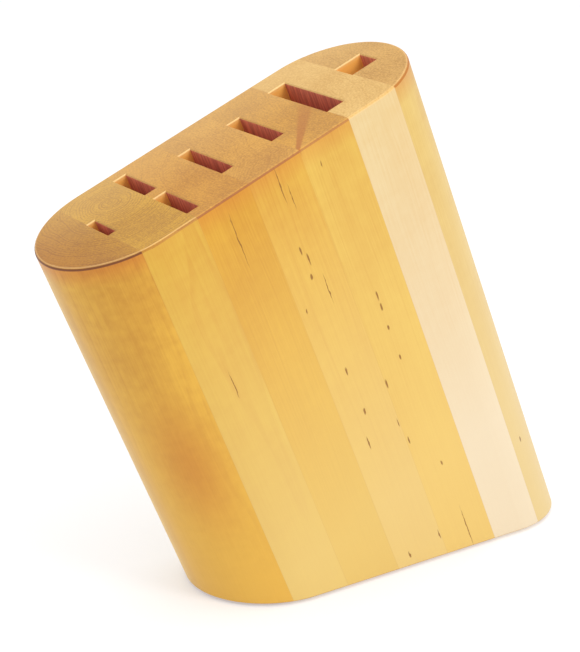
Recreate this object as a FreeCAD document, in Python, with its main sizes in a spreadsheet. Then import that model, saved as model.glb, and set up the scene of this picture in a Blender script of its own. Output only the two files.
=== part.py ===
"""Countertop knife block: seven birch staves glued face to face, on four screwed rubber feet.

Row frame, in mm: +Z is up and the block stands on Z = 0. -Y is the low end, which faces the user, +Y is the
high end, and X runs across the block, which is symmetric about X = 0. The origin is under the middle.

Each stave is drawn in a frame that leans with the grain: X runs across the block, Y from the stave's low face
to its high face, and Z up along the grain to the top face at Z = 0. A slot is a groove in a stave's low face,
closed by the high face of the stave in front of it.
"""

import FreeCAD, Part
import math
import os

import Sketcher
from FreeCAD import Placement, Rotation, Vector

SIZES = {
    # the block
    "block_width": 80.0,  # across the flat sides, and twice the radius of the round ends
    "stave_thickness": 28.6,
    "front_length": 192.0,  # along the grain, down the low end
    "lean": 22.5,  # degrees between the grain and the vertical
    "top_round": 1.4,  # radius round the top rim
    "base_ease": 1.0,  # radius round the bottom rim
    # the slots: width across the block, depth into the stave, reach down along the grain
    "paring_width": 19.0,
    "paring_depth": 4.0,
    "paring_reach": 115.0,
    "utility_width": 28.0,
    "utility_depth": 6.4,
    "utility_reach": 150.0,
    "utility_gap": 8.0,  # wood left between the two utility slots
    "slicer_width": 37.0,
    "slicer_depth": 6.4,
    "slicer_reach": 190.0,
    "carver_width": 37.0,
    "carver_depth": 7.1,
    "carver_reach": 205.0,
    "chef_width": 47.5,
    "chef_depth": 9.8,
    "chef_reach": 215.0,
    "steel_width": 13.6,
    "steel_depth": 15.1,
    "steel_reach": 215.0,
    "slot_corner": 3.0,  # radius that the router leaves in the two lower corners of a slot
    "mouth_ease": 0.5,  # chamfer round every mouth
    # the feet, each in a recess in the base
    "foot_diameter": 14.0,
    "foot_height": 4.5,
    "foot_standout": 1.5,  # from the table up to the wood
    "foot_taper": 0.8,  # how much smaller the sole's radius is
    "foot_fit": 0.2,  # gap round the foot in its recess
    "foot_land": 1.4,  # wood between a recess and the nearest glue line
    "foot_spacing": 38.0,  # from the left feet to the right feet
    # the screws that hold the feet
    "shank_diameter": 3.0,
    "screw_length": 14.0,  # under the head
    "screw_tip": 2.5,  # length of the point
    "head_diameter": 5.6,
    "head_height": 1.8,
    "head_bevel": 0.5,
    "head_inset": 0.8,  # from the table up to the head
    "head_fit": 0.3,  # gap round the head in the foot
    "drive_span": 3.6,  # the cross recess in the head
    "drive_width": 0.9,
    "drive_depth": 1.1,
    "pilot_spare": 1.0,  # pilot hole beyond the screw's point
}

# each stave from the low end up, with the kind of slot in its low face and how many side by side
STAVES = [
    ("stave_1_low_end", None, 0),
    ("stave_2", "paring", 1),
    ("stave_3", "utility", 2),
    ("stave_4", "slicer", 1),
    ("stave_5", "carver", 1),
    ("stave_6", "chef", 1),
    ("stave_7_high_end", "steel", 1),
]
LAST = len(STAVES) - 1
FOOT_STAVES = {"front": 0, "rear": LAST}
SIDES = {"left": -1, "right": 1}
NEAR = 1e-4  # two places closer than this are the same

LENGTH = f"{len(STAVES)} * sizes.stave_thickness"
RADIUS = "sizes.block_width / 2"
SEAT = "(sizes.head_inset + sizes.head_height)"
RECESS = "(sizes.foot_diameter / 2 + sizes.foot_fit)"

doc = FreeCAD.newDocument("knife_block")
sizes = doc.addObject("Spreadsheet::Sheet", "sizes")
for row, (alias, value) in enumerate(SIZES.items(), start=1):
    sizes.set(f"A{row}", alias)
    sizes.set(f"B{row}", str(value))
    sizes.setAlias(f"B{row}", alias)
doc.recompute()


def worth(formula):
    """What a formula of named sizes comes to."""
    return float(sizes.evalExpression(formula))


def below_top(index, across):
    """Formula: how far down the grain the base is, at a distance from stave number index's low face."""
    return f"(sizes.front_length + ({index} * sizes.stave_thickness + {across}) * tan(sizes.lean))"


def foot_across(index):
    """Formula: how far a foot's centre is from its stave's low face. The recess stays off the glue line."""
    from_glue = f"({RECESS} + sizes.foot_land)"
    return from_glue if index == LAST else f"(sizes.stave_thickness - {from_glue})"


def in_row(index, across, down):
    """Formulas: row Y and Z of a point on the middle plane, given from a stave's low face and its top."""
    along = f"({index} * sizes.stave_thickness + {across})"
    half_base = f"(({LENGTH}) / cos(sizes.lean) + sizes.front_length * sin(sizes.lean)) / 2"
    y = f"{along} * cos(sizes.lean) + {down} * sin(sizes.lean) - {half_base}"
    rise = "sizes.foot_standout + sizes.front_length * cos(sizes.lean)"
    z = f"{rise} + {along} * sin(sizes.lean) - {down} * cos(sizes.lean)"
    return y, z


def new_sketch(body, name, role):
    """A sketch on one of the body's own origin planes."""
    sketch = body.newObject("Sketcher::SketchObject", name)
    plane = next(part for part in body.Origin.OriginFeatures if part.Role == role)
    sketch.AttachmentSupport = [(plane, "")]
    sketch.MapMode = "FlatFace"
    return sketch


def dimension(sketch, kind, places, formula):
    """Adds a dimension that follows a formula."""
    number = sketch.addConstraint(Sketcher.Constraint(kind, *places, worth(formula)))
    sketch.setExpression(f"Constraints[{number}]", formula)


def place(sketch, edge, point, x, y):
    """Holds a point of a sketch edge at two formulas."""
    dimension(sketch, "DistanceX", (-1, 1, edge, point), x)
    dimension(sketch, "DistanceY", (-1, 1, edge, point), y)


def draw_polygon(sketch, corners):
    """A closed polygon. Each corner is two formulas."""
    points = [Vector(worth(x), worth(y), 0) for x, y in corners]
    first = sketch.GeometryCount
    count = len(points)
    for n in range(count):
        sketch.addGeometry(Part.LineSegment(points[n], points[(n + 1) % count]))
    for n in range(count):
        after = first + (n + 1) % count
        sketch.addConstraint(Sketcher.Constraint("Coincident", first + n, 2, after, 1))
    for n, (x, y) in enumerate(corners):
        place(sketch, first + n, 1, x, y)


def draw_box(sketch, low_x, high_x, low_y, high_y):
    """A rectangle between four formulas."""
    draw_polygon(sketch, [(low_x, low_y), (high_x, low_y), (high_x, high_y), (low_x, high_y)])


def draw_circle(sketch, x, y, radius):
    edge = sketch.addGeometry(Part.Circle(Vector(worth(x), worth(y), 0), Vector(0, 0, 1), worth(radius)))
    place(sketch, edge, 3, x, y)
    dimension(sketch, "Radius", (edge,), radius)


def draw_outline(sketch, low_center, high_center):
    """The block's outline: half a circle round each centre, and a tangent side on the left and the right."""
    radius = worth(RADIUS)
    low, high = Vector(0, worth(low_center), 0), Vector(0, worth(high_center), 0)
    side = Vector(radius, 0, 0)
    around_low = Part.Circle(low, Vector(0, 0, 1), radius)
    around_high = Part.Circle(high, Vector(0, 0, 1), radius)
    loop = [
        Part.ArcOfCircle(around_low, math.pi, 2 * math.pi),
        Part.LineSegment(low + side, high + side),
        Part.ArcOfCircle(around_high, 0, math.pi),
        Part.LineSegment(high - side, low - side),
    ]
    first = sketch.GeometryCount
    sketch.addGeometry(loop)
    for n in range(4):
        after = first + (n + 1) % 4
        sketch.addConstraint(Sketcher.Constraint("Tangent", first + n, 2, after, 1))
    sketch.addConstraint(Sketcher.Constraint("Equal", first, first + 2))
    place(sketch, first, 3, "0", low_center)
    place(sketch, first + 2, 3, "0", high_center)
    dimension(sketch, "Radius", (first,), RADIUS)


def pad_both_ways(body, sketch, width):
    pad = body.newObject("PartDesign::Pad", sketch.Name + "_pad")
    pad.Profile = sketch
    pad.Midplane = True
    pad.setExpression("Length", width)
    doc.recompute()


def cut(body, sketch, depth=None, reverse=False, taper=0.0):
    """Cuts a sketch to a depth, or right through, and makes sure that wood was cut away."""
    before = body.Shape.Volume
    pocket = body.newObject("PartDesign::Pocket", sketch.Name + "_cut")
    pocket.Profile = sketch
    pocket.Reversed = reverse
    pocket.TaperAngle = taper
    if depth:
        pocket.setExpression("Length", depth)
    else:
        pocket.Type = "ThroughAll"
    doc.recompute()
    if not body.Shape.Volume < before - NEAR:
        raise ValueError(f"{pocket.Name} in {body.Label} cut nothing away")


def round_edges(body, name, wanted, radius):
    """Fillets the edges of the body whose points all pass the test."""
    names = []
    for number, edge in enumerate(body.Shape.Edges, start=1):
        points = edge.discretize(5)
        local = [body.Placement.inverse().multVec(point) for point in points]
        if all(wanted(point) for point in local):
            names.append(f"Edge{number}")
    if not names:
        raise ValueError(f"{name} in {body.Label} found no edges")
    rounded = body.Tip
    fillet = body.newObject("PartDesign::Fillet", name)
    fillet.Base = (rounded, names)
    fillet.setExpression("Radius", radius)
    doc.recompute()


def slots_of(index):
    """The kind of slot in stave number index, and a formula for the middle of each slot."""
    if index > LAST or not STAVES[index][1]:
        return None, []
    _, kind, count = STAVES[index]
    if count == 1:
        return kind, ["0"]
    step = f"(sizes.{kind}_width + sizes.{kind}_gap)"
    return kind, [f"{n - (count - 1) / 2} * {step}" for n in range(count)]


def cut_slots(body, index):
    """The grooves in a stave's low face, with the round corners that the router leaves at the bottom."""
    kind, middles = slots_of(index)
    for number, middle in enumerate(middles, start=1):
        half, reach = f"sizes.{kind}_width / 2", f"sizes.{kind}_reach"
        sketch = new_sketch(body, f"{kind}_slot_{number}", "XZ_Plane")
        draw_box(sketch, f"{middle} - {half}", f"{middle} + {half}", f"-{reach}", "sizes.top_round")
        cut(body, sketch, depth=f"sizes.{kind}_depth")
        at, aside, bottom = worth(middle), worth(half), -worth(reach)
        round_edges(
            body,
            f"{kind}_slot_{number}_corners",
            lambda p: abs(p.z - bottom) < NEAR and abs(abs(p.x - at) - aside) < NEAR,
            "sizes.slot_corner",
        )


def ease_mouths(body, index, glue_plane):
    """A chamfer round the mouths in stave number index, which share a glue plane with the stave in front."""
    kind, middles = slots_of(index)
    for number, middle in enumerate(middles, start=1):
        half = f"(sizes.{kind}_width / 2 + sizes.mouth_ease)"
        sketch = new_sketch(body, f"{kind}_mouth_{number}", "XY_Plane")
        near = f"{glue_plane} - sizes.mouth_ease"
        far = f"{glue_plane} + sizes.{kind}_depth + sizes.mouth_ease"
        draw_box(sketch, f"{middle} - {half}", f"{middle} + {half}", near, far)
        cut(body, sketch, depth="sizes.mouth_ease", taper=-45.0)


def seat_feet(body, index):
    """A recess and a pilot hole for each foot, square to the base."""
    across = foot_across(index)
    wood_from = "sizes.foot_height - sizes.foot_standout"
    into_wood = f"{SEAT} + sizes.screw_length + sizes.pilot_spare - sizes.foot_standout"
    for name, radius, depth in (
        ("foot_recesses", RECESS, wood_from),
        ("pilot_holes", "sizes.shank_diameter / 2", into_wood),
    ):
        sketch = new_sketch(body, name, "XY_Plane")
        sketch.AttachmentOffset = Placement(Vector(), Rotation(Vector(-1, 0, 0), worth("sizes.lean")))
        sketch.setExpression("AttachmentOffset.Base.y", across)
        sketch.setExpression("AttachmentOffset.Base.z", f"-{below_top(index, across)}")
        sketch.setExpression("AttachmentOffset.Rotation.Angle", "sizes.lean")
        for side in SIDES.values():
            draw_circle(sketch, f"{side} * sizes.foot_spacing / 2", "0", radius)
        cut(body, sketch, depth=depth, reverse=True)


def make_stave(index):
    """One stave: sawn to the slant of the base, rounded to the outline, then grooved."""
    label = STAVES[index][0]
    body = doc.addObject("PartDesign::Body", label)
    side_view = new_sketch(body, label + "_side", "YZ_Plane")
    thick = "sizes.stave_thickness"
    foot = [("0", f"-{below_top(index, '0')}"), (thick, f"-{below_top(index, thick)}")]
    draw_polygon(side_view, foot + [(thick, "0"), ("0", "0")])
    pad_both_ways(body, side_view, "sizes.block_width")

    radius, length = worth(RADIUS), worth(LENGTH)
    start, end = index * worth(thick), (index + 1) * worth(thick)
    if start < radius - NEAR or end > length - radius + NEAR:
        outline = new_sketch(body, label + "_outline", "XY_Plane")
        before = f"{index} * {thick}"
        around = "sizes.block_width"
        draw_box(outline, f"-{around}", around, f"-{before} - {around}", f"{LENGTH} - {before} + {around}")
        draw_outline(outline, f"{RADIUS} - {before}", f"{LENGTH} - {RADIUS} - {before}")
        cut(body, outline)

    def on_rim(point):
        """Is the point on the wall of the whole block?"""
        along = start + point.y
        beyond = along - min(max(along, radius), length - radius)
        return abs(math.hypot(point.x, beyond) - radius) < NEAR

    def on_top(point):
        return on_rim(point) and abs(point.z) < NEAR

    def on_base(point):
        return on_rim(point) and abs(point.z + worth(below_top(index, str(point.y)))) < NEAR

    round_edges(body, label + "_top_rim", on_top, "sizes.top_round")
    round_edges(body, label + "_base_rim", on_base, "sizes.base_ease")
    cut_slots(body, index)
    ease_mouths(body, index, "0")
    ease_mouths(body, index + 1, thick)
    if index in FOOT_STAVES.values():
        seat_feet(body, index)

    y, z = in_row(index, "0", "0")
    body.Placement = Placement(Vector(), Rotation(Vector(1, 0, 0), worth("sizes.lean")))
    body.setExpression("Placement.Rotation.Angle", "sizes.lean")
    body.setExpression("Placement.Base.y", y)
    body.setExpression("Placement.Base.z", z)
    return body


def revolve(name, corners):
    """A body turned about its Z axis from a profile in radius and height."""
    body = doc.addObject("PartDesign::Body", name)
    profile = new_sketch(body, name + "_profile", "XZ_Plane")
    draw_polygon(profile, corners)
    turned = body.newObject("PartDesign::Revolution", name + "_turned")
    turned.Profile = profile
    turned.ReferenceAxis = (profile, ["V_Axis"])
    turned.Angle = 360
    doc.recompute()
    return body


def stand_at_foot(body, index, side):
    """Stands a body on the table where a foot goes."""
    across = foot_across(index)
    y, _ = in_row(index, across, below_top(index, across))
    body.setExpression("Placement.Base.x", f"{side} * sizes.foot_spacing / 2")
    body.setExpression("Placement.Base.y", y)


def make_foot(name, index, side):
    """A rubber foot: it tapers to the sole, and the screw's head is sunk in it."""
    root, shank = "sizes.foot_diameter / 2", "sizes.shank_diameter / 2"
    bore = "sizes.head_diameter / 2 + sizes.head_fit"
    sole = [(bore, "0"), (f"{root} - sizes.foot_taper", "0")]
    outside = [(root, "sizes.foot_standout"), (root, "sizes.foot_height")]
    inside = [(shank, "sizes.foot_height"), (shank, SEAT), (bore, SEAT)]
    body = revolve(name, sole + outside + inside)
    stand_at_foot(body, index, side)
    return body


def make_screw(name, index, side):
    """A pan head screw, point up, with a cross recess in the head."""
    head, shank = "sizes.head_diameter / 2", "sizes.shank_diameter / 2"
    bevel, point = "sizes.head_bevel", f"{SEAT} + sizes.screw_length"
    under = [("0", "sizes.head_inset"), (f"{head} - {bevel}", "sizes.head_inset")]
    rim = [(head, f"sizes.head_inset + {bevel}"), (head, SEAT), (shank, SEAT)]
    body = revolve(name, under + rim + [(shank, f"{point} - sizes.screw_tip"), ("0", point)])
    drive = new_sketch(body, name + "_drive", "XY_Plane")
    drive.setExpression("AttachmentOffset.Base.z", "sizes.head_inset")
    far, near = "sizes.drive_span / 2", "sizes.drive_width / 2"
    arm = [(far, near), (near, near), (near, far)]
    corners = arm + [(f"-{x}", y) for x, y in reversed(arm)]
    corners += [(f"-{x}", f"-{y}") for x, y in arm]
    corners += [(x, f"-{y}") for x, y in reversed(arm)]
    draw_polygon(drive, corners)
    cut(body, drive, depth="sizes.drive_depth", reverse=True)
    stand_at_foot(body, index, side)
    return body


def check_document(parts):
    """Stops if any object failed, or a part isn't one valid solid for each piece in it."""
    doc.recompute()
    failed = [thing.Name for thing in doc.Objects if {"Invalid", "Error"} & set(thing.State)]
    if failed:
        raise ValueError(f"these objects failed: {failed}")
    for part, pieces in parts:
        if part.Shape.isNull() or not part.Shape.isValid() or len(part.Shape.Solids) != pieces:
            raise ValueError(f"{part.Label} isn't {pieces} valid solid")


parts = [(make_stave(index), 1) for index in range(len(STAVES))]
screws = []
for end, index in FOOT_STAVES.items():
    for hand, side in SIDES.items():
        parts.append((make_foot(f"foot_{end}_{hand}", index, side), 1))
        screws.append(make_screw(f"screw_{end}_{hand}", index, side))
foot_screws = doc.addObject("Part::Compound", "foot_screws")
foot_screws.Links = screws
parts.append((foot_screws, len(screws)))
check_document(parts)

os.makedirs("parts", exist_ok=True)
for part, _ in parts:
    part.Shape.exportStep(f"parts/{part.Label}.step")
    print(f"{part.Label}: {part.Shape.Volume / 1000:.1f} cm3")
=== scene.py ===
import math

import bmesh
import bpy
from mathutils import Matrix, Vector


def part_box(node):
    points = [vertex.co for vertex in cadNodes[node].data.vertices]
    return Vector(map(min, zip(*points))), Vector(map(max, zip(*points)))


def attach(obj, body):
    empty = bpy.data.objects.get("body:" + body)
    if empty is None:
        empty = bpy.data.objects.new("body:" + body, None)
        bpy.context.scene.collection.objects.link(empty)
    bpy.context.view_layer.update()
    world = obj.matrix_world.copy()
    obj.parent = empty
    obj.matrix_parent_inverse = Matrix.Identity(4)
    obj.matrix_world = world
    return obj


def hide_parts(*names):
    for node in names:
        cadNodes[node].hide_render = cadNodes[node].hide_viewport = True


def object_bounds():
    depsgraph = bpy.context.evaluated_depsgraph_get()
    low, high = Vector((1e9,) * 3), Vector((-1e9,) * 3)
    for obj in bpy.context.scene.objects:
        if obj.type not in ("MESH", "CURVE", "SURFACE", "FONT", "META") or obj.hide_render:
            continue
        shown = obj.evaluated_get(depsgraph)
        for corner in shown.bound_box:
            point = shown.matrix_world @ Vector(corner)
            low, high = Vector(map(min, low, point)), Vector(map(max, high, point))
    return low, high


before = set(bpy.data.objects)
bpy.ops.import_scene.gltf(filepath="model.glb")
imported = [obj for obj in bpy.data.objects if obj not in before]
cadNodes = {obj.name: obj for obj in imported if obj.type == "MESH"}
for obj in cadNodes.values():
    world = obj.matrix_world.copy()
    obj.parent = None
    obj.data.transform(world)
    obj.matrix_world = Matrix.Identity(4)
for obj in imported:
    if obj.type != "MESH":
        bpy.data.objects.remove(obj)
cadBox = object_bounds()
scene = bpy.context.scene
mm = 0.001
print("block loaded:", len(cadNodes), "parts")


def toLinear(hexColour):
    # an sRGB hex value such as "#E2A55A", made linear for the shaders
    parts = [int(hexColour[i:i + 2], 16) / 255 for i in (1, 3, 5)]
    return tuple(c / 12.92 if c <= 0.04045 else ((c + 0.055) / 1.055) ** 2.4 for c in parts) + (1.0,)


def addNode(tree, kind, wires=None, out=0, **settings):
    # wires: input socket -> another node's output, or a plain value; gives back the node's output
    node = tree.nodes.new(kind)
    for name, value in settings.items():
        setattr(node, name, value)
    for socket, value in (wires or {}).items():
        if isinstance(value, bpy.types.NodeSocket):
            tree.links.new(value, node.inputs[socket])
        else:
            node.inputs[socket].default_value = value
    return node.outputs[out] if len(node.outputs) else None


# camera, floor and soft light

# the camera's angles, distance and lens were worked out by a separate fitting program
studio = {
    "cameraAzimuth": 55.69,     # degrees round from the low end towards the right flank
    "cameraElevation": 19.34,
    "cameraDistance": 0.8694,
    "aimForward": 0.0169,       # the aim sits this far towards the low end of the block's middle
    "aimDown": 0.0023,
    "lens": 100.4,
    "floorSize": 24.0,
    "floorColour": "#CDCDCD",
    "floorGlow": 0.4,           # the paper is lit from behind, which keeps the shadow faint
    "skyColour": "#FCFCFF",
    "skyStrength": 0.88,
    "topPower": 18.0,           # big soft light overhead
    "topSize": 2.4,
    "topHeight": 2.2,
    "sidePower": 9.0,           # softbox high on the right
    "sideSize": 0.6,
    "sidePlace": (1.35, 0.35, 1.05),
}

blockMiddle = (Vector(cadBox[0]) + Vector(cadBox[1])) / 2
azimuth = math.radians(studio["cameraAzimuth"])
elevation = math.radians(studio["cameraElevation"])
awayFromBlock = Vector((math.sin(azimuth) * math.cos(elevation), -math.cos(azimuth) * math.cos(elevation),
                        math.sin(elevation)))
aim = blockMiddle - Vector((0, studio["aimForward"], studio["aimDown"]))

cameraData = bpy.data.cameras.new("studioCamera")
cameraData.lens = studio["lens"]
cameraData.sensor_width = 36.0
cameraData.clip_end = 60.0
camera = bpy.data.objects.new("studioCamera", cameraData)
camera.location = aim + awayFromBlock * studio["cameraDistance"]
camera.rotation_euler = (-awayFromBlock).to_track_quat("-Z", "Y").to_euler()
scene.collection.objects.link(camera)
scene.camera = camera

halfFloor = studio["floorSize"] / 2
floorMesh = bpy.data.meshes.new("paperSweep")
floorMesh.from_pydata([(-halfFloor, -halfFloor, 0), (halfFloor, -halfFloor, 0), (halfFloor, halfFloor, 0),
                       (-halfFloor, halfFloor, 0)], [], [(0, 1, 2, 3)])
floor = bpy.data.objects.new("paperSweep", floorMesh)
scene.collection.objects.link(floor)
floorPaper = bpy.data.materials.new("matt white background paper")  # dull and even, takes a soft shadow
floorPaper.use_nodes = True
floorPaper.node_tree.nodes.clear()
paper = addNode(floorPaper.node_tree, "ShaderNodeBsdfPrincipled", {"Base Color": toLinear(studio["floorColour"]),
                "Roughness": 0.9, "Specular IOR Level": 0.1, "Emission Color": (1.0, 1.0, 1.0, 1.0),
                "Emission Strength": studio["floorGlow"]})
addNode(floorPaper.node_tree, "ShaderNodeOutputMaterial", {"Surface": paper})
floorMesh.materials.append(floorPaper)

world = bpy.data.worlds.new("softSky")
world.use_nodes = True
world.node_tree.nodes["Background"].inputs["Color"].default_value = toLinear(studio["skyColour"])
world.node_tree.nodes["Background"].inputs["Strength"].default_value = studio["skyStrength"]
scene.world = world

for lightName, place, size, power in (
        ("overheadSoftbox", (0.2, 0.0, studio["topHeight"]), studio["topSize"], studio["topPower"]),
        ("sideSoftbox", studio["sidePlace"], studio["sideSize"], studio["sidePower"])):
    lightData = bpy.data.lights.new(lightName, "AREA")
    lightData.size = size
    lightData.energy = power
    light = bpy.data.objects.new(lightName, lightData)
    light.location = place
    light.rotation_euler = (blockMiddle - light.location).to_track_quat("-Z", "Y").to_euler()
    scene.collection.objects.link(light)
scene.view_settings.view_transform = "Standard"
print("camera, floor and lights set")


# birch staves

block = {
    "lean": 22.5,            # degrees the grain leans back from upright
    "staveThickness": 28.6,  # mm from glue line to glue line
    "endRadius": 40.0,       # mm, the round ends
    "length": 200.2,         # mm along the top
    "ringSpacing": 1.45,     # mm between growth rings
    "glueLine": 0.16,        # mm each side of the joint
}

# pale and deep are the wood along the grain, foot is a painted reflection of the bright floor: the paler tone the
# sides drift to at the bottom. endPale and endDeep are the cut ends on top. These five colours of each stave were
# worked out by a separate colour matching program and not chosen by hand. ringCentre is the pith, mm across and
# along the top; flecks are pith flecks: mm across, along, and depth down the grain from and to, then half width
staveLooks = {
    "stave_1_low_end": {
        "pale": "#D3A031", "deep": "#BC831F", "foot": "#DDAD43", "endPale": "#BB861B", "endDeep": "#9B6511",
        "rim": "#6E3812", "rimStrength": 0.95, "crestHighlight": 0.4, "underRimStrength": 0.55,
        "rings": 0.9, "ringCentre": (-15, 60), "curl": 0.5, "mottle": 0.9,
        "flecks": ((-28, 24, 0, 3, 0.24), (-31, 19, 92, 101, 0.24), (-34, 22, 118, 125, 0.28))},
    "stave_2": {
        "pale": "#D0A73A", "deep": "#C5902A", "foot": "#DBBD70", "endPale": "#C89627", "endDeep": "#A6731B",
        "rim": "#A05A12", "rimStrength": 0.55, "crestHighlight": 0.5, "underRimStrength": 0.1,
        "rings": 0.9, "ringCentre": (-15, 46), "curl": 0.5, "mottle": 0.4,
        "flecks": ((40, 43.0, 74, 88, 0.28), (-40, 50, 30, 44, 0.28), (-40, 38.5, 120, 126, 0.24))},
    "stave_3": {
        "pale": "#D4A22D", "deep": "#C48B1E", "foot": "#D8B868", "endPale": "#CC922D", "endDeep": "#AB701C",
        "rim": "#8E4408", "rimStrength": 0.75, "crestHighlight": 0.1, "underRimStrength": 0.4,
        "rings": 0.35, "ringCentre": (18, 128), "curl": 0.3, "mottle": 0.4,
        "flecks": ((40, 71.4, 8, 34, 0.28), (-40, 66, 150, 172, 0.24))},
    "stave_4": {
        "pale": "#D5AA3D", "deep": "#C8922C", "foot": "#DBBD76", "endPale": "#CF983A", "endDeep": "#AE7626",
        "rim": "#924808", "rimStrength": 0.75, "crestHighlight": 0.1, "underRimStrength": 0.4,
        "rings": 0.35, "ringCentre": (-24, 30), "curl": 0.3, "mottle": 0.4,
        "flecks": ((40, 99.6, 1, 19, 0.28), (40, 103.0, 11, 24, 0.2), (40, 97.6, 41, 45, 0.4),
                   (40, 100.0, 46, 52, 0.48), (40, 98.0, 56, 59, 0.56), (40, 103.8, 60, 75, 0.28),
                   (40, 89.5, 70, 73, 0.28), (40, 97.6, 109, 113, 0.56), (40, 98.9, 134, 138, 0.48),
                   (40, 95.2, 149, 156, 0.48), (40, 94.2, 222, 226, 0.4), (40, 113.6, 151, 156, 0.28),
                   (40, 113.6, 222, 228, 0.28), (-40, 101, 60, 71, 0.32), (-40, 96, 140, 146, 0.4))},
    "stave_5": {
        "pale": "#D7B24C", "deep": "#C99939", "foot": "#DCB968", "endPale": "#CF9734", "endDeep": "#AD7725",
        "rim": "#984E0A", "rimStrength": 0.6, "crestHighlight": 0.1, "underRimStrength": 0.4,
        "rings": 0.3, "ringCentre": (12, 205), "curl": 0.3, "mottle": 0.4,
        "flecks": ((40, 122.3, 10, 13, 0.28), (40, 126.4, 84, 89, 0.48), (40, 126.5, 91, 95, 0.64),
                   (40, 126.2, 103, 106, 0.56), (40, 126.9, 121, 124, 0.48), (40, 114.9, 128, 133, 0.48),
                   (40, 115.8, 164, 168, 0.4), (40, 128.5, 188, 191, 0.56), (40, 129.9, 220, 245, 0.28))},
    "stave_6": {
        "pale": "#D6BD89", "deep": "#D0AE71", "foot": "#DECDB0", "endPale": "#DBB368", "endDeep": "#C39446",
        "rim": "#E4B468", "rimStrength": 0.3, "crestHighlight": 0.2, "underRimStrength": 0.0,
        "rings": 0.3, "ringCentre": (-5, 95), "curl": 0.4, "mottle": 0.4,
        "flecks": ((-40, 150, 40, 52, 0.24),)},
    "stave_7_high_end": {
        "pale": "#D4B565", "deep": "#C7A04E", "foot": "#D7BD82", "endPale": "#CFA052", "endDeep": "#AD7D33",
        "rim": "#AC6410", "rimStrength": 0.85, "crestHighlight": 0.3, "underRimStrength": 0.5,
        "rings": 0.3, "ringCentre": (4, 238), "curl": 0.5, "mottle": 0.4,
        "flecks": ((36, 178.6, 211, 214, 0.4),)},
}
# what all the staves share: depths and places in mm, bands by how far a face turns up towards the top
finish = {
    "skin": (6, 4),                                    # mm in from the outside, from and to
    "ringStray": 9.0,                                  # mm that the rings wander
    "ringWander": (24, 24, 120),                       # mm over which they do so
    "lateWood": (0.3, 0.9),                            # the dark part of a ring, as shares of the year
    "earlyWood": (1.0, 0.92),
    "curlSlant": 0.35,                                 # radians
    "sideGrain": {"fibre": 0.95, "cloud": 1.4},        # how much each pattern darkens the sides
    "endGrain": {"pore": 2.2, "mottle": 0.8, "cloud": 1.4},
    "sideRings": 0.3,
    "paintedFloorReflection": (-10, -190, 0.8),                     # painted reflection of the bright floor: depth from and to, and how far the sides drift paler
    "paintedTopSheen": (8, -38, 0.28),                         # painted sheen: across from and to, and how strong
    "tipDarkening": (27, 2, 0.45),                       # along from and to, and how dark
    "endFaces": (0.35, 0.6),
    # depth of the darker, more orange band just under the top edge
    "underRimDepth": (-11, -1),
    "rimDepth": (-6, -3),
    "rimBand": ((0.05, 0.25), (0.85, 0.62)),           # rises over the first pair, falls over the second
    # a painted highlight along the crest of the rounded top edge
    "crestHighlightBand": ((0.72, 0.9), (0.999, 0.97)),
    "easedBand": ((0.55, 0.65), (0.9, 0.8)),
    "easedStrength": 0.6,
    "glueStrength": 0.13,
    "fleckStrength": 0.85,
    "fleckDepth": 4.0,                                 # mm that a fleck goes into the wood, each way
    "fleckEdge": (1.3, 0.6),                           # how far out it starts to show, and is full
    "fleckRag": (1.4, 1.4, 2),                         # mm that its outline strays
    "fleckRagScale": (0.8, 0.8, 0.25),
    "wallFaces": (0.6, 0.3),
    "sawContrast": (0.35, 0.65),
    "arris": (-2.2, -0.4, 0.5),                        # painted highlight near the top of the slot end walls: depth from and to, and how pale
    "acrossMouth": (0.2, 0.5, 0.15),                   # by how far a face turns across, and the least share
    "roughness": (0.40, 0.52),
    "grainRelief": 0.00006,                            # metres
}
fleckColour, glueColour = "#7E4A04", "#B5803C"
# slot walls: the side wall colours are saw-scorched wood darkened as painted shade, the end wall colour is painted
# light
shadedSawnWall, shadedScorchedWall, litSawnEndWall = "#E2886A", "#BC6856", "#F6B656"
# the first colour darkens the side just under the top edge; the second is a painted highlight on edge crests and on
# the tops of slot end walls; the third is a painted highlight on the slot mouths
underRimTone, paintedEdgeHighlight, paintedMouthHighlight = "#F0A860", "#F2C684", "#FBD894"
# the first colour is a painted sheen on the far side of the top, the second darkens the top towards the low tip
paintedSheenTone, tipDarkTone = "#E4BE7C", "#D2A070"
patch = {"centre": (28, 13, -112), "radii": (24, 24, 56), "colour": "#F0D8CA",   # mm
         # the next three give a painted sheen: the low end board drawn paler towards one side
         "paintedSideSheen": "#EFD396", "paintedSideSheenStrength": 0.55, "paintedSideSheenAcross": (13, -22)}
streak = {"from": (7.0, 143.0), "to": (39.0, 114.4), "halfWidth": (4.2, 1.1), "colour": "#A85C12",   # mm
          "edge": (1.25, 0.5), "startsAt": -4.0, "strength": (0.25, 0.8), "depth": (-4.0, -0.5)}

lean = math.radians(block["lean"])
fourthLow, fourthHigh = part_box("stave_4")
topLowY = fourthLow.y / mm - 3 * block["staveThickness"] * math.cos(lean)
topLowZ = fourthHigh.z / mm - 4 * block["staveThickness"] * math.sin(lean)
topLowPlace = (0.0, -(topLowY * math.cos(lean) + topLowZ * math.sin(lean)),
               topLowY * math.sin(lean) - topLowZ * math.cos(lean))


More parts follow.
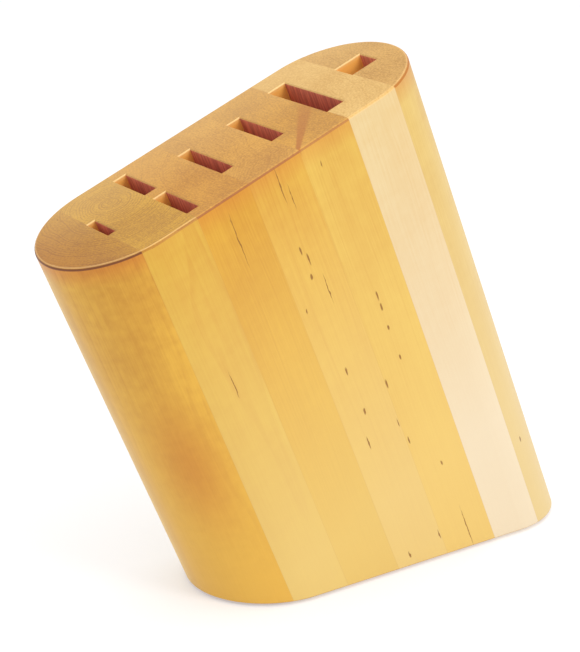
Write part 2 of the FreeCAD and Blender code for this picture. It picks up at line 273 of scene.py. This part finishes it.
def makeBirch(staveName, order, look):
    # satin lacquered birch: pale and close grained, thin rings on the cut ends, a faint curl, soft even sheen
    material = bpy.data.materials.new("lacquered birch, " + staveName)
    material.use_nodes = True
    tree = material.node_tree
    tree.nodes.clear()

    # mm across the block, along its top from the low end, and up the grain from the top face
    coordinates = addNode(tree, "ShaderNodeTexCoord").node
    grain = addNode(tree, "ShaderNodeMapping", {"Vector": coordinates.outputs["Object"], "Location": topLowPlace,
                    "Rotation": (-lean, 0, 0), "Scale": (1 / mm, 1 / mm, 1 / mm)})
    facing = addNode(tree, "ShaderNodeMapping", {"Vector": coordinates.outputs["Normal"],
                     "Rotation": (-lean, 0, 0)})
    across, along, upGrain = addNode(tree, "ShaderNodeSeparateXYZ", {0: grain}).node.outputs
    facing = addNode(tree, "ShaderNodeSeparateXYZ", {0: facing}).node.outputs
    endOn = addNode(tree, "ShaderNodeMath", {0: facing["Z"]}, operation="ABSOLUTE")
    crossOn = addNode(tree, "ShaderNodeMath", {0: facing["X"]}, operation="ABSOLUTE")

    # near the outside of the block, as against inside a slot
    halfStraight = block["length"] / 2 - block["endRadius"]
    offCentre = addNode(tree, "ShaderNodeMath", {0: along, 1: block["length"] / 2}, operation="SUBTRACT")
    offCentre = addNode(tree, "ShaderNodeMath", {0: offCentre}, operation="ABSOLUTE")
    intoRound = addNode(tree, "ShaderNodeMath", {0: offCentre, 1: halfStraight}, operation="SUBTRACT")
    intoRound = addNode(tree, "ShaderNodeMath", {0: intoRound, 1: 0.0}, operation="MAXIMUM")
    reach = addNode(tree, "ShaderNodeCombineXYZ", {0: across, 1: intoRound})
    reach = addNode(tree, "ShaderNodeVectorMath", {0: reach}, out="Value", operation="LENGTH")
    start, end = finish["skin"]
    outside = addNode(tree, "ShaderNodeMapRange", {0: reach, 1: block["endRadius"] - start,
                      2: block["endRadius"] - end}, interpolation_type="SMOOTHSTEP")

    # growth rings round the pith, wandering a little down the grain
    wander = addNode(tree, "ShaderNodeMapping", {"Vector": grain, "Location": (order * 9.1, 0, 0),
                     "Scale": tuple(1 / w for w in finish["ringWander"])})
    wander = addNode(tree, "ShaderNodeTexNoise", {"Vector": wander, "Scale": 1.0, "Detail": 1.0}, out="Color")
    stray = finish["ringStray"]
    wander = addNode(tree, "ShaderNodeVectorMath", {0: wander, 1: (stray, stray, 0),
                     2: (-stray / 2, -stray / 2, 0)}, operation="MULTIPLY_ADD")
    wandered = addNode(tree, "ShaderNodeVectorMath", {0: grain, 1: wander}, operation="ADD")
    fromPith = addNode(tree, "ShaderNodeMapping", {"Vector": wandered, "Scale": (1, 1, 0),
                       "Location": (-look["ringCentre"][0], -look["ringCentre"][1], 0)})
    fromPith = addNode(tree, "ShaderNodeVectorMath", {0: fromPith}, out="Value", operation="LENGTH")
    rings = addNode(tree, "ShaderNodeMath", {0: fromPith, 1: block["ringSpacing"]}, operation="DIVIDE")
    year = addNode(tree, "ShaderNodeMath", {0: rings}, operation="FLOOR")
    yearTone = addNode(tree, "ShaderNodeTexWhiteNoise", {"W": year}, noise_dimensions="1D")
    season = addNode(tree, "ShaderNodeMath", {0: rings}, operation="FRACT")
    start, end = finish["lateWood"]
    lateWood = addNode(tree, "ShaderNodeMapRange", {0: season, 1: start, 2: end},
                       interpolation_type="SMOOTHSTEP")
    start, end = finish["earlyWood"]
    earlyWood = addNode(tree, "ShaderNodeMapRange", {0: season, 1: start, 2: end},
                        interpolation_type="SMOOTHSTEP")
    ringLine = addNode(tree, "ShaderNodeMath", {0: lateWood, 1: earlyWood}, operation="MULTIPLY")
    ringLine = addNode(tree, "ShaderNodeMath", {0: ringLine, 1: yearTone}, operation="MULTIPLY")

    # patterns in mm: across, along, and with the grain
    patterns = {}
    for patternName, size, detail in (
            ("fibre", (0.7, 0.7, 45), 3.0),    # long straight fibres
            ("curl", (22, 15, 5.5), 1.0),      # ripples across the grain
            ("mottle", (3.6, 3.6, 4.5), 2.0),  # small soft cells
            ("pore", (1.0, 1.0, 6), 2.0),      # open pores on the cut ends, drawn coarse so that they show
            ("cloud", (28, 34, 80), 1.0),      # slow drift of colour through the board
            ("saw", (1.2, 1.2, 14), 1.0)):     # streaks down the slot walls
        spot = addNode(tree, "ShaderNodeMapping", {"Vector": grain, "Location": (order * 5.3, order * 2.7, order),
                       "Rotation": (finish["curlSlant"] if patternName == "curl" else 0.0, 0, 0),
                       "Scale": tuple(1 / s for s in size)})
        patterns[patternName] = addNode(tree, "ShaderNodeTexNoise", {"Vector": spot, "Scale": 1.0,
                                        "Detail": detail})

    def blend(weights, extra):
        total = 0.5 - sum(weights.values()) / 2 - extra / 4
        for patternName, weight in weights.items():
            total = addNode(tree, "ShaderNodeMath", {0: patterns[patternName], 1: weight, 2: total},
                            operation="MULTIPLY_ADD")
        return addNode(tree, "ShaderNodeMath", {0: ringLine, 1: extra, 2: total}, operation="MULTIPLY_ADD",
                       use_clamp=True)

    sideTone = blend({**finish["sideGrain"], "curl": look["curl"], "mottle": look["mottle"]}, finish["sideRings"])
    endTone = blend(finish["endGrain"], look["rings"])
    sideWood = addNode(tree, "ShaderNodeMix", {0: sideTone, 6: toLinear(look["pale"]), 7: toLinear(look["deep"])},
                       out=2, data_type="RGBA")
    # painted reflection of the bright floor: the sides are drawn paler towards the bottom, into each stave's foot
    # tone
    start, end, amount = finish["paintedFloorReflection"]
    paintedReflectionShare = addNode(tree, "ShaderNodeMapRange", {0: upGrain, 1: start, 2: end, 4: amount})
    sideWood = addNode(tree, "ShaderNodeMix", {0: paintedReflectionShare, 6: sideWood, 7: toLinear(look["foot"])},
                       out=2, data_type="RGBA")
    endWood = addNode(tree, "ShaderNodeMix", {0: endTone, 6: toLinear(look["endPale"]),
                      7: toLinear(look["endDeep"])}, out=2, data_type="RGBA")
    # painted sheen: the top drawn paler towards its far side
    start, end, amount = finish["paintedTopSheen"]
    paintedSheenShare = addNode(tree, "ShaderNodeMapRange", {0: across, 1: start, 2: end, 4: amount})
    endWood = addNode(tree, "ShaderNodeMix", {0: paintedSheenShare, 6: endWood, 7: toLinear(paintedSheenTone)}, out=2, data_type="RGBA")
    # the top drawn darker towards the low tip
    start, end, amount = finish["tipDarkening"]
    towardsTip = addNode(tree, "ShaderNodeMapRange", {0: along, 1: start, 2: end, 4: amount})
    endWood = addNode(tree, "ShaderNodeMix", {0: towardsTip, 6: endWood, 7: toLinear(tipDarkTone)}, out=2,
                      data_type="RGBA", blend_type="MULTIPLY")
    start, end = finish["endFaces"]
    cutEnd = addNode(tree, "ShaderNodeMapRange", {0: endOn, 1: start, 2: end}, interpolation_type="SMOOTHSTEP")
    wood = addNode(tree, "ShaderNodeMix", {0: cutEnd, 6: sideWood, 7: endWood}, out=2, data_type="RGBA")
    onSide = addNode(tree, "ShaderNodeMath", {0: 1.0, 1: cutEnd}, operation="SUBTRACT")

    # painted sheen: the low end board is drawn paler towards one side; it also has a warm patch low on the other
    if order == 1:
        start, end = patch["paintedSideSheenAcross"]
        paintedSideSheen = addNode(tree, "ShaderNodeMapRange", {0: across, 1: start, 2: end, 4: patch["paintedSideSheenStrength"]},
                          interpolation_type="SMOOTHSTEP")
        paintedSideSheen = addNode(tree, "ShaderNodeMath", {0: paintedSideSheen, 1: onSide}, operation="MULTIPLY")
        wood = addNode(tree, "ShaderNodeMix", {0: paintedSideSheen, 6: wood, 7: toLinear(patch["paintedSideSheen"])}, out=2,
                       data_type="RGBA")
        patchPlace = addNode(tree, "ShaderNodeMapping", {"Vector": grain,
                             "Scale": tuple(1 / r for r in patch["radii"]),
                             "Location": tuple(-c / r for c, r in zip(patch["centre"], patch["radii"]))})
        patchTone = addNode(tree, "ShaderNodeVectorMath", {0: patchPlace}, out="Value", operation="LENGTH")
        patchTone = addNode(tree, "ShaderNodeMapRange", {0: patchTone, 1: 1.0, 2: 0.0},
                            interpolation_type="SMOOTHSTEP")
        wood = addNode(tree, "ShaderNodeMix", {0: patchTone, 6: wood, 7: toLinear(patch["colour"])}, out=2,
                       data_type="RGBA", blend_type="MULTIPLY")

    # the side darker just under the rounded top edge, the edge in its rim colour, a painted highlight on its crest
    start, end = finish["underRimDepth"]
    underRim = addNode(tree, "ShaderNodeMapRange", {0: upGrain, 1: start, 2: end, 4: look["underRimStrength"]})
    underRim = addNode(tree, "ShaderNodeMath", {0: underRim, 1: onSide}, operation="MULTIPLY")
    wood = addNode(tree, "ShaderNodeMix", {0: underRim, 6: wood, 7: toLinear(underRimTone)}, out=2,
                   data_type="RGBA", blend_type="MULTIPLY")
    start, end = finish["rimDepth"]
    nearTop = addNode(tree, "ShaderNodeMapRange", {0: upGrain, 1: start, 2: end})
    atRim = addNode(tree, "ShaderNodeMath", {0: outside, 1: nearTop}, operation="MULTIPLY")
    # each stave's rim colour, then a painted highlight along the crest of the rounded edge
    for colour, strength, (rise, fall) in ((look["rim"], look["rimStrength"], finish["rimBand"]),
                                           (paintedEdgeHighlight, look["crestHighlight"], finish["crestHighlightBand"])):
        band = addNode(tree, "ShaderNodeMapRange", {0: endOn, 1: rise[0], 2: rise[1], 4: strength},
                       interpolation_type="SMOOTHSTEP")
        bandEnd = addNode(tree, "ShaderNodeMapRange", {0: endOn, 1: fall[0], 2: fall[1]},
                          interpolation_type="SMOOTHSTEP")
        band = addNode(tree, "ShaderNodeMath", {0: band, 1: bandEnd}, operation="MULTIPLY")
        band = addNode(tree, "ShaderNodeMath", {0: band, 1: atRim}, operation="MULTIPLY")
        wood = addNode(tree, "ShaderNodeMix", {0: band, 6: wood, 7: toLinear(colour)}, out=2, data_type="RGBA")

    # glue lines
    marks = None
    for side in (0, 1):
        joint = (order - 1 + side) * block["staveThickness"]
        toJoint = addNode(tree, "ShaderNodeMath", {0: along, 1: joint}, operation="SUBTRACT")
        toJoint = addNode(tree, "ShaderNodeMath", {0: toJoint}, operation="ABSOLUTE")
        line = addNode(tree, "ShaderNodeMapRange", {0: toJoint, 1: 2 * block["glueLine"],
                       2: block["glueLine"] / 2, 4: finish["glueStrength"]}, interpolation_type="SMOOTHSTEP")
        marks = line if marks is None else addNode(tree, "ShaderNodeMath", {0: marks, 1: line},
                                                   operation="MAXIMUM")
    wood = addNode(tree, "ShaderNodeMix", {0: marks, 6: wood, 7: toLinear(glueColour)}, out=2, data_type="RGBA")

    # pith flecks, ragged at the ends
    rag = addNode(tree, "ShaderNodeMapping", {"Vector": grain, "Scale": finish["fleckRagScale"]})
    rag = addNode(tree, "ShaderNodeTexNoise", {"Vector": rag, "Scale": 1.0, "Detail": 2.0}, out="Color")
    rag = addNode(tree, "ShaderNodeVectorMath", {0: rag, 1: finish["fleckRag"],
                  2: tuple(-r / 2 for r in finish["fleckRag"])},
                  operation="MULTIPLY_ADD")
    ragged = addNode(tree, "ShaderNodeVectorMath", {0: grain, 1: rag}, operation="ADD")
    marks = 0.0
    start, end = finish["fleckEdge"]
    for sideAt, alongAt, top, bottom, halfWidth in look["flecks"]:
        halves = (finish["fleckDepth"], halfWidth, (bottom - top) / 2)
        centre = (sideAt, alongAt, -(top + bottom) / 2)
        fleck = addNode(tree, "ShaderNodeMapping", {"Vector": ragged, "Scale": tuple(1 / h for h in halves),
                        "Location": tuple(-c / h for c, h in zip(centre, halves))})
        fleck = addNode(tree, "ShaderNodeVectorMath", {0: fleck}, out="Value", operation="LENGTH")
        fleck = addNode(tree, "ShaderNodeMapRange", {0: fleck, 1: start, 2: end}, interpolation_type="SMOOTHSTEP")
        marks = addNode(tree, "ShaderNodeMath", {0: fleck, 1: marks}, operation="MAXIMUM")
    marks = addNode(tree, "ShaderNodeMath", {0: marks, 1: finish["fleckStrength"]}, operation="MULTIPLY")
    wood = addNode(tree, "ShaderNodeMix", {0: marks, 6: wood, 7: toLinear(fleckColour)}, out=2, data_type="RGBA")

    # mineral streak through the top of the fifth stave
    if order == 5:
        run = Vector(streak["to"]) - Vector(streak["from"])
        turn = -math.atan2(run.y, run.x)
        start = Vector((streak["from"][0], streak["from"][1], 0))
        start = Vector((start.x * math.cos(turn) - start.y * math.sin(turn),
                        start.x * math.sin(turn) + start.y * math.cos(turn), 0))
        streakPlace = addNode(tree, "ShaderNodeMapping", {"Vector": grain, "Rotation": (0, 0, turn),
                              "Location": tuple(-start)})
        alongStreak, offStreak = addNode(tree, "ShaderNodeSeparateXYZ", {0: streakPlace}).node.outputs[:2]
        offStreak = addNode(tree, "ShaderNodeMath", {0: offStreak}, operation="ABSOLUTE")
        half = addNode(tree, "ShaderNodeMapRange", {0: alongStreak, 1: 0.0, 2: run.length,
                       3: streak["halfWidth"][0], 4: streak["halfWidth"][1]})
        offStreak = addNode(tree, "ShaderNodeMath", {0: offStreak, 1: half}, operation="DIVIDE")
        stain = addNode(tree, "ShaderNodeMapRange", {0: offStreak, 1: streak["edge"][0], 2: streak["edge"][1]},
                        interpolation_type="SMOOTHSTEP")
        strength = addNode(tree, "ShaderNodeMapRange", {0: alongStreak, 1: streak["startsAt"], 2: run.length,
                           3: streak["strength"][0], 4: streak["strength"][1]})
        stain = addNode(tree, "ShaderNodeMath", {0: stain, 1: strength}, operation="MULTIPLY")
        shallow = addNode(tree, "ShaderNodeMapRange", {0: upGrain, 1: streak["depth"][0], 2: streak["depth"][1]})
        stain = addNode(tree, "ShaderNodeMath", {0: stain, 1: shallow}, operation="MULTIPLY")
        wood = addNode(tree, "ShaderNodeMix", {0: stain, 6: wood, 7: toLinear(streak["colour"])}, out=2,
                       data_type="RGBA")

    # slot walls: the side walls red-brown, streaked and scorched by the saw and darkened as painted shade; the end
    # walls pale as painted light, with a painted highlight near their top edge
    start, end = finish["wallFaces"]
    upright = addNode(tree, "ShaderNodeMapRange", {0: endOn, 1: start, 2: end}, interpolation_type="SMOOTHSTEP")
    inside = addNode(tree, "ShaderNodeMath", {0: 1.0, 1: outside}, operation="SUBTRACT")
    inSlot = addNode(tree, "ShaderNodeMath", {0: upright, 1: inside}, operation="MULTIPLY")
    start, end = finish["sawContrast"]
    streaked = addNode(tree, "ShaderNodeMapRange", {0: patterns["saw"], 1: start, 2: end})
    sawn = addNode(tree, "ShaderNodeMix", {0: streaked, 6: toLinear(shadedSawnWall), 7: toLinear(shadedScorchedWall)}, out=2,
                   data_type="RGBA")
    start, end, amount = finish["arris"]
    arris = addNode(tree, "ShaderNodeMapRange", {0: upGrain, 1: start, 2: end, 4: amount})
    endWall = addNode(tree, "ShaderNodeMix", {0: arris, 6: toLinear(litSawnEndWall), 7: toLinear(paintedEdgeHighlight)}, out=2,
                      data_type="RGBA")
    sawn = addNode(tree, "ShaderNodeMix", {0: crossOn, 6: sawn, 7: endWall}, out=2, data_type="RGBA")
    wood = addNode(tree, "ShaderNodeMix", {0: inSlot, 6: wood, 7: sawn}, out=2, data_type="RGBA")

    # painted highlight: the eased mouths of the slots are drawn paler, most on faces that turn across the block
    rise, fall = finish["easedBand"]
    eased = addNode(tree, "ShaderNodeMapRange", {0: endOn, 1: rise[0], 2: rise[1], 4: finish["easedStrength"]})
    start, end, least = finish["acrossMouth"]
    acrossMouth = addNode(tree, "ShaderNodeMapRange", {0: crossOn, 1: start, 2: end, 3: least})
    eased = addNode(tree, "ShaderNodeMath", {0: eased, 1: acrossMouth}, operation="MULTIPLY")
    easedEnd = addNode(tree, "ShaderNodeMapRange", {0: endOn, 1: fall[0], 2: fall[1]})
    eased = addNode(tree, "ShaderNodeMath", {0: eased, 1: easedEnd}, operation="MULTIPLY")
    eased = addNode(tree, "ShaderNodeMath", {0: eased, 1: inside}, operation="MULTIPLY")
    wood = addNode(tree, "ShaderNodeMix", {0: eased, 6: wood, 7: toLinear(paintedMouthHighlight)}, out=2, data_type="RGBA")

    dull = addNode(tree, "ShaderNodeMapRange", {0: patterns["fibre"], 3: finish["roughness"][0],
                    4: finish["roughness"][1]})
    bump = addNode(tree, "ShaderNodeBump", {"Height": patterns["fibre"], "Strength": 0.25,
                   "Distance": finish["grainRelief"]})
    birch = addNode(tree, "ShaderNodeBsdfPrincipled", {"Base Color": wood, "Roughness": dull, "Normal": bump,
                    "IOR": 1.5, "Specular IOR Level": 0.4, "Coat Weight": 0.06, "Coat Roughness": 0.3})
    addNode(tree, "ShaderNodeOutputMaterial", {"Surface": birch})
    return material


for order, (staveName, look) in enumerate(staveLooks.items(), 1):
    birchMaterial = makeBirch(staveName, order, look)
    for slot in cadNodes[staveName].material_slots:
        slot.material = birchMaterial
print("birch staves finished")


# rubber feet and their screws, one at each foot's place

footSizes = {
    "root radius": 7.0, "sole radius": 6.2, "height": 4.5, "standout": 1.5, "seat height": 2.6,
    "bore radius": 3.1, "screw hole radius": 1.5, "edge": 0.3,
    "groove depth": 0.35, "first groove": 4.2, "second groove": 5.2, "groove width": 0.25,
}
footFinish = {"black": "#262523", "dusty": "#3A3835", "grit": 0.25, "dust": 4.0, "roughness": (0.62, 0.8)}  # mm
# corners of the foot's section, from the bore round the sole and back: radius, then height
footSection = (
    ({"bore radius": 1}, {"edge": 0.6}), ({"bore radius": 1, "edge": 0.6}, {}),
    ({"first groove": 1, "groove width": -1}, {}),
    ({"first groove": 1, "groove width": -0.5}, {"groove depth": 1}),
    ({"first groove": 1, "groove width": 0.5}, {"groove depth": 1}), ({"first groove": 1, "groove width": 1}, {}),
    ({"second groove": 1, "groove width": -1}, {}),
    ({"second groove": 1, "groove width": -0.5}, {"groove depth": 1}),
    ({"second groove": 1, "groove width": 0.5}, {"groove depth": 1}),
    ({"second groove": 1, "groove width": 1}, {}),
    ({"sole radius": 1, "edge": -1}, {}), ({"sole radius": 1, "edge": -0.3}, {"edge": 0.3}),
    ({"sole radius": 1}, {"edge": 1}), ({"root radius": 1}, {"standout": 1}),
    ({"root radius": 1}, {"height": 1, "edge": -0.5}), ({"root radius": 1, "edge": -0.5}, {"height": 1}),
    ({"screw hole radius": 1}, {"height": 1}), ({"screw hole radius": 1}, {"seat height": 1}),
    ({"bore radius": 1}, {"seat height": 1}), ({"bore radius": 1}, {"edge": 0.6}),
)
screwSizes = {
    "head radius": 2.8, "head height": 1.8, "bevel": 0.5, "inset": 0.8, "core radius": 1.15, "length": 14.0,
    "tip": 2.5, "thread pitch": 1.25, "thread radius": 0.3,
    "drive span": 3.6, "drive width": 0.9, "drive depth": 1.1,
}
screwFinish = {"bluish": "#B9BDC4", "straw": "#C8C3B4", "cloud": 1.5, "scuff": 0.3,  # mm
               "roughness": (0.22, 0.42)}
turnSteps, weldDistance, tinyRadius = 44, 2e-6, 1e-7   # metres; the tiny circle is what the section turns round
sharpAngle = 35                                        # degrees
screwSection = (
    ({}, {"inset": 1}), ({"head radius": 1, "bevel": -1}, {"inset": 1}),
    ({"head radius": 1, "bevel": -0.3}, {"inset": 1, "bevel": 0.3}),
    ({"head radius": 1}, {"inset": 1, "bevel": 1}),
    ({"head radius": 1}, {"inset": 1, "head height": 1}), ({"core radius": 1}, {"inset": 1, "head height": 1}),
    ({"core radius": 1}, {"inset": 1, "head height": 1, "length": 1, "tip": -1}),
    ({}, {"inset": 1, "head height": 1, "length": 1}),
)


def addUp(tree, inputs, terms):
    # a size worked out from the tree's named inputs
    total = 0.0
    for name, share in terms.items():
        total = addNode(tree, "ShaderNodeMath", {0: inputs[name], 1: share, 2: total}, operation="MULTIPLY_ADD")
    return total


def makeAtFeet(pieceName, sizes, section, material, withDrive):
    # turns the section about the upright axis and stands one at each foot
    tree = bpy.data.node_groups.new(pieceName, "GeometryNodeTree")
    tree.interface.new_socket("Places", in_out="INPUT", socket_type="NodeSocketGeometry")
    for name, size in sizes.items():
        tree.interface.new_socket(name, in_out="INPUT", socket_type="NodeSocketFloat").default_value = size * mm
    tree.interface.new_socket("Material", in_out="INPUT", socket_type="NodeSocketMaterial")
    tree.interface.new_socket("Pieces", in_out="OUTPUT", socket_type="NodeSocketGeometry")
    inputs = addNode(tree, "NodeGroupInput").node.outputs

    corner = addNode(tree, "GeometryNodeIndexSwitch", data_type="VECTOR").node
    for _ in section[2:]:
        corner.index_switch_items.new()
    tree.links.new(addNode(tree, "GeometryNodeInputIndex"), corner.inputs["Index"])
    for number, (radius, height) in enumerate(section, 1):
        down = {name: -share for name, share in height.items()}
        tree.links.new(addNode(tree, "ShaderNodeCombineXYZ", {0: addUp(tree, inputs, radius),
                       1: addUp(tree, inputs, down)}), corner.inputs[number])
    outline = addNode(tree, "GeometryNodeMeshLine", {"Count": len(section)})
    outline = addNode(tree, "GeometryNodeSetPosition", {"Geometry": outline, "Position": corner.outputs[0]})
    outline = addNode(tree, "GeometryNodeMeshToCurve", {0: outline})
    turn = addNode(tree, "GeometryNodeCurvePrimitiveCircle", {"Resolution": turnSteps, "Radius": tinyRadius})
    shape = addNode(tree, "GeometryNodeCurveToMesh", {"Curve": turn, "Profile Curve": outline})
    shape = addNode(tree, "GeometryNodeMergeByDistance", {"Geometry": shape, "Distance": weldDistance})

    if withDrive:
        arm = addNode(tree, "ShaderNodeCombineXYZ", {0: inputs["drive span"], 1: inputs["drive width"],
                      2: addUp(tree, inputs, {"drive depth": 2})})
        arm = addNode(tree, "GeometryNodeMeshCube", {"Size": arm})
        otherArm = addNode(tree, "GeometryNodeTransform", {"Geometry": arm, "Rotation": (0, 0, math.pi / 2)})
        cross = addNode(tree, "GeometryNodeMeshBoolean", {"Mesh 2": arm}, operation="UNION", solver="EXACT").node
        tree.links.new(otherArm, cross.inputs["Mesh 2"])
        cross = addNode(tree, "GeometryNodeTransform", {"Geometry": cross.outputs[0], "Translation":
                        addNode(tree, "ShaderNodeCombineXYZ", {2: inputs["inset"]})})
        shape = addNode(tree, "GeometryNodeMeshBoolean", {"Mesh 1": shape, "Mesh 2": cross}, solver="EXACT")
        threaded = {"length": 1, "tip": -1}
        turns = addNode(tree, "ShaderNodeMath", {0: addUp(tree, inputs, threaded), 1: inputs["thread pitch"]},
                        operation="DIVIDE")
        spiral = addNode(tree, "GeometryNodeCurveSpiral", {"Resolution": 20, "Rotations": turns,
                         "Start Radius": inputs["core radius"], "End Radius": inputs["core radius"],
                         "Height": addUp(tree, inputs, threaded)})
        crest = addNode(tree, "GeometryNodeCurvePrimitiveCircle", {"Resolution": 3,
                        "Radius": inputs["thread radius"]})
        thread = addNode(tree, "GeometryNodeCurveToMesh", {"Curve": spiral, "Profile Curve": crest,
                         "Fill Caps": True})
        thread = addNode(tree, "GeometryNodeTransform", {"Geometry": thread, "Translation":
                         addNode(tree, "ShaderNodeCombineXYZ", {2: addUp(tree, inputs, {"inset": 1, "head height": 1,
                                                                                        "thread radius": 1})})})
        joined = addNode(tree, "GeometryNodeJoinGeometry").node
        tree.links.new(thread, joined.inputs[0])
        tree.links.new(shape, joined.inputs[0])
        shape = joined.outputs[0]

    placed = addNode(tree, "GeometryNodeInstanceOnPoints", {"Points": inputs["Places"], "Instance": shape})
    placed = addNode(tree, "GeometryNodeRealizeInstances", {0: placed})
    placed = addNode(tree, "GeometryNodeSetMaterial", {"Geometry": placed, "Material": inputs["Material"]})
    addNode(tree, "NodeGroupOutput", {0: placed})

    places = bpy.data.meshes.new(pieceName + "Places")
    places.from_pydata(footPlaces, [], [])
    piece = bpy.data.objects.new(pieceName, places)
    scene.collection.objects.link(piece)
    modifier = piece.modifiers.new(pieceName, "NODES")
    modifier.node_group = tree
    for socket in tree.interface.items_tree:
        if socket.in_out == "INPUT" and socket.name in sizes:
            modifier[socket.identifier] = sizes[socket.name] * mm
        elif socket.name == "Material":
            modifier[socket.identifier] = material
    solid = bpy.data.meshes.new_from_object(piece.evaluated_get(bpy.context.evaluated_depsgraph_get()))
    piece.modifiers.clear()
    piece.data = solid
    clean = bmesh.new()
    clean.from_mesh(solid)
    bmesh.ops.recalc_face_normals(clean, faces=clean.faces)
    clean.to_mesh(solid)
    clean.free()
    solid.shade_smooth()
    solid.set_sharp_from_angle(angle=math.radians(sharpAngle))
    return piece


footNodes = ("foot_front_left", "foot_front_right", "foot_rear_left", "foot_rear_right")
footPlaces = []
for nodeName in footNodes:
    low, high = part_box(nodeName)
    footPlaces.append(((low.x + high.x) / 2, (low.y + high.y) / 2, 0.0))

# thermoplastic rubber, moulded matt: black, soft grained, barely a sheen
rubber = bpy.data.materials.new("moulded black rubber")
rubber.use_nodes = True
rubberTree = rubber.node_tree
rubberTree.nodes.clear()
rubberPlace = addNode(rubberTree, "ShaderNodeTexCoord").node.outputs["Object"]
grit = addNode(rubberTree, "ShaderNodeTexNoise", {"Vector": rubberPlace, "Scale": 1 / (footFinish["grit"] * mm),
               "Detail": 2.0})
dust = addNode(rubberTree, "ShaderNodeTexNoise", {"Vector": rubberPlace, "Scale": 1 / (footFinish["dust"] * mm),
               "Detail": 2.0})
rubberColour = addNode(rubberTree, "ShaderNodeMix", {0: dust, 6: toLinear(footFinish["black"]),
                       7: toLinear(footFinish["dusty"])},
                       out=2, data_type="RGBA")
rubberBump = addNode(rubberTree, "ShaderNodeBump", {"Height": grit, "Strength": 0.4, "Distance": 0.00005})
rubberDull = addNode(rubberTree, "ShaderNodeMapRange", {0: grit, 3: footFinish["roughness"][0],
                     4: footFinish["roughness"][1]})
rubberShader = addNode(rubberTree, "ShaderNodeBsdfPrincipled", {"Base Color": rubberColour,
                       "Roughness": rubberDull, "Normal": rubberBump, "IOR": 1.52})
addNode(rubberTree, "ShaderNodeOutputMaterial", {"Surface": rubberShader})

# zinc plated steel, barrel plated: grey with a faint blue and straw cloud, fairly bright
zinc = bpy.data.materials.new("zinc plated steel")
zinc.use_nodes = True
zincTree = zinc.node_tree
zincTree.nodes.clear()
zincPlace = addNode(zincTree, "ShaderNodeTexCoord").node.outputs["Object"]
plating = addNode(zincTree, "ShaderNodeTexNoise", {"Vector": zincPlace, "Scale": 1 / (screwFinish["cloud"] * mm),
                  "Detail": 3.0})
scuff = addNode(zincTree, "ShaderNodeTexNoise", {"Vector": zincPlace, "Scale": 1 / (screwFinish["scuff"] * mm),
                "Detail": 2.0})
zincColour = addNode(zincTree, "ShaderNodeMix", {0: plating, 6: toLinear(screwFinish["bluish"]),
                     7: toLinear(screwFinish["straw"])},
                     out=2, data_type="RGBA")
zincDull = addNode(zincTree, "ShaderNodeMapRange", {0: scuff, 3: screwFinish["roughness"][0],
                   4: screwFinish["roughness"][1]})
zincBump = addNode(zincTree, "ShaderNodeBump", {"Height": scuff, "Strength": 0.15, "Distance": 0.00003})
zincShader = addNode(zincTree, "ShaderNodeBsdfPrincipled", {"Base Color": zincColour, "Metallic": 1.0,
                     "Roughness": zincDull, "Normal": zincBump})
addNode(zincTree, "ShaderNodeOutputMaterial", {"Surface": zincShader})

rubberFeet = makeAtFeet("rubberFeet", footSizes, footSection, rubber, withDrive=False)
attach(rubberFeet, "root")
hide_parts(*footNodes)
footScrews = makeAtFeet("footScrews", screwSizes, screwSection, zinc, withDrive=True)
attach(footScrews, "root")
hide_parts("foot_screws")
print("feet and screws finished:", len(rubberFeet.data.polygons), "and", len(footScrews.data.polygons), "faces")
